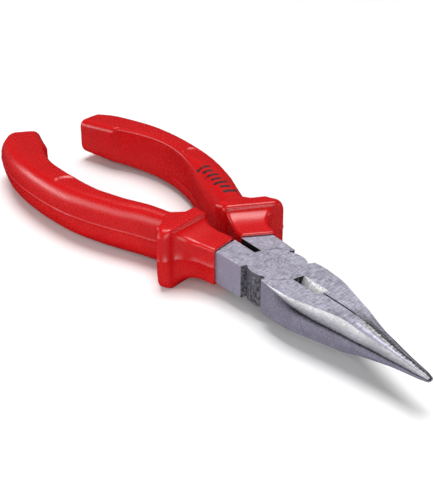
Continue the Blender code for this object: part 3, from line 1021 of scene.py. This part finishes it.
def build_rivet():
    top = HALF_THICKNESS - RIVET_RECESS
    profile = ((RIVET_HEAD_RADIUS - RIVET_EDGE, top), (RIVET_HEAD_RADIUS, top - RIVET_EDGE),
               (RIVET_RADIUS, HALF_THICKNESS - RIVET_HEAD_DEPTH))
    mesh = loft("pivot_rivet_steel", round_rings(profile, RIVET_SEGMENTS))
    rivet = new_piece("pivot_rivet_steel", mesh, [RIVET])
    mesh.shade_smooth()
    mesh.set_sharp_from_angle(angle=math.radians(RIVET_SHARP_DEG))
    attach(rivet, UPPER_BODY)
    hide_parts("pivot_rivet")


# ---------------------------------------------------------------- printed mark

def bar_layers(work, tree, centre, along, length):
    """The top and bottom corners of a bar, laid on the grip by looking down on it."""
    side = Vector((-along.y, along.x))
    down = Vector((0.0, 0.0, -1.0))
    layers = []
    for lift in (MARK_LIFT, -MARK_LIFT):
        line = []
        for row in range(MARK_ROWS + 1):
            t = row / MARK_ROWS - 0.5
            for half in (-0.5, 0.5):
                spot = centre + side * (t * length) + along * (half * MARK_BAR_WIDTH + t * MARK_SLANT)
                hit = tree.ray_cast(Vector((spot.x * MM, spot.y * MM, MARK_ABOVE)), down)[0]
                line.append(work.verts.new((spot.x, spot.y, hit.z / MM + lift)))
        layers.append(line)
    return layers


def build_mark(grip):
    """A row of plain slanted bars printed on the top of the far grip."""
    work = bmesh.new()
    work.from_mesh(grip.data)
    tree = BVHTree.FromBMesh(work)
    work.free()
    start = Vector(MARK_FROM)
    along = Vector(MARK_TO) - start
    step = along / (MARK_BARS - 1)
    along.normalize()
    made = bmesh.new()
    for bar in range(MARK_BARS):
        length = MARK_BAR_LENGTH * (MARK_SHORT_BAR if bar % 2 else 1.0)
        top, bottom = bar_layers(made, tree, start + step * bar, along, length)
        for a in range(0, 2 * MARK_ROWS, 2):
            made.faces.new((top[a], top[a + 1], top[a + 3], top[a + 2]))
            made.faces.new((bottom[a], bottom[a + 2], bottom[a + 3], bottom[a + 1]))
            made.faces.new((top[a], top[a + 2], bottom[a + 2], bottom[a]))
            made.faces.new((top[a + 1], bottom[a + 1], bottom[a + 3], top[a + 3]))
        made.faces.new((top[0], bottom[0], bottom[1], top[1]))
        made.faces.new((top[-2], top[-1], bottom[-1], bottom[-2]))
    bmesh.ops.recalc_face_normals(made, faces=made.faces)
    mesh = bpy.data.meshes.new("grip_mark")
    made.to_mesh(mesh)
    made.free()
    mark = new_piece("grip_mark", mesh, [INK])
    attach(mark, LOWER_BODY)


# ---------------------------------------------------------------- stage

def build_stage():
    mesh = bpy.data.meshes.new("floor")
    corners = ((-1, -1), (1, -1), (1, 1), (-1, 1))
    points = [(x * FLOOR_HALF_SIZE, y * FLOOR_HALF_SIZE, 0) for x, y in corners]
    mesh.from_pydata(points, [], [(0, 1, 2, 3)])
    floor = linked("floor", mesh)
    paint = new_nodes("floor").surface(Base_Color=FLOOR_COLOUR, Roughness=0.9, Specular_IOR_Level=0.1)
    mesh.materials.append(paint)
    floor.visible_glossy = False


def add_lamp(name, kind, direction, distance, power):
    """A lamp that shines at the pivot from a direction, at a distance in metres. Gives back its light."""
    light = bpy.data.lights.new(name, kind)
    light.energy = power
    lamp = linked(name, light)
    aim = Vector(direction).normalized()
    lamp.location = PIVOT + aim * distance
    lamp.rotation_euler = aim.to_track_quat("Z", "Y").to_euler()
    return light


def build_light():
    scene = bpy.context.scene
    scene.world = bpy.data.worlds.new("studio")
    nodes = Nodes(scene.world)
    direction = nodes.split(nodes.add("ShaderNodeTexCoord").outputs["Generated"])
    height = nodes.spread(direction["Z"], -0.36, -0.12, 0.08, 1.0)
    side = nodes.spread(direction["Y"], 0.2, -0.8, 1.0, 1.45)
    nodes.feed(nodes.tree.nodes["Background"].inputs["Strength"], nodes.times(height, side))
    for name, towards, distance, size, power in SOFT_BOXES:
        light = add_lamp(name, "AREA", towards, distance, power)
        light.shape = "RECTANGLE"
        light.size, light.size_y = size
    add_lamp("top", "SUN", SKY_DIRECTION, 1.0, SKY_POWER).angle = math.radians(SKY_SPREAD_DEG)
    scene.view_settings.view_transform = "Standard"
    scene.view_settings.look = "None"
    scene.view_settings.exposure = 0.0
    scene.view_settings.gamma = 1.0


def build_camera():
    azimuth = math.radians(CAMERA_AZIMUTH)
    elevation = math.radians(CAMERA_ELEVATION)
    roll = math.radians(CAMERA_ROLL)
    back = Vector((math.sin(azimuth) * math.cos(elevation), -math.cos(azimuth) * math.cos(elevation),
                   math.sin(elevation)))
    right = Vector((0.0, 0.0, 1.0)).cross(back).normalized()
    up = back.cross(right)
    turned_right = right * math.cos(roll) + up * math.sin(roll)
    turned_up = up * math.cos(roll) - right * math.sin(roll)
    data = bpy.data.cameras.new("camera")
    data.sensor_width = CAMERA_SENSOR
    data.sensor_fit = "AUTO"
    data.lens = CAMERA_LENS
    data.shift_x, data.shift_y = CAMERA_SHIFT
    data.clip_start = CAMERA_NEAR
    data.clip_end = CAMERA_FAR
    camera = linked("camera", data)
    rotation = Matrix((turned_right, turned_up, back)).transposed().to_4x4()
    place = PIVOT + (Vector(CAMERA_TARGET) + back * CAMERA_DISTANCE) * MM
    camera.matrix_world = Matrix.Translation(place) @ rotation
    bpy.context.scene.camera = camera


# ---------------------------------------------------------------- everything in its place

STEELS = (ground_steel(), forged_steel(), facet_steel(), bright_steel(), dark_steel(), black_steel(),
          edge_steel())
RED = red_pvc()
RIVET = rivet_steel()
INK = black_ink()

build_lever("upper_lever", "upper", UPPER_BODY)
build_lever("lower_lever", "lower", LOWER_BODY)
build_rivet()
build_grip("upper_lever_grip", "upper", UPPER_BODY)
build_mark(build_grip("lower_lever_grip", "lower", LOWER_BODY))
build_stage()
build_light()
build_camera()
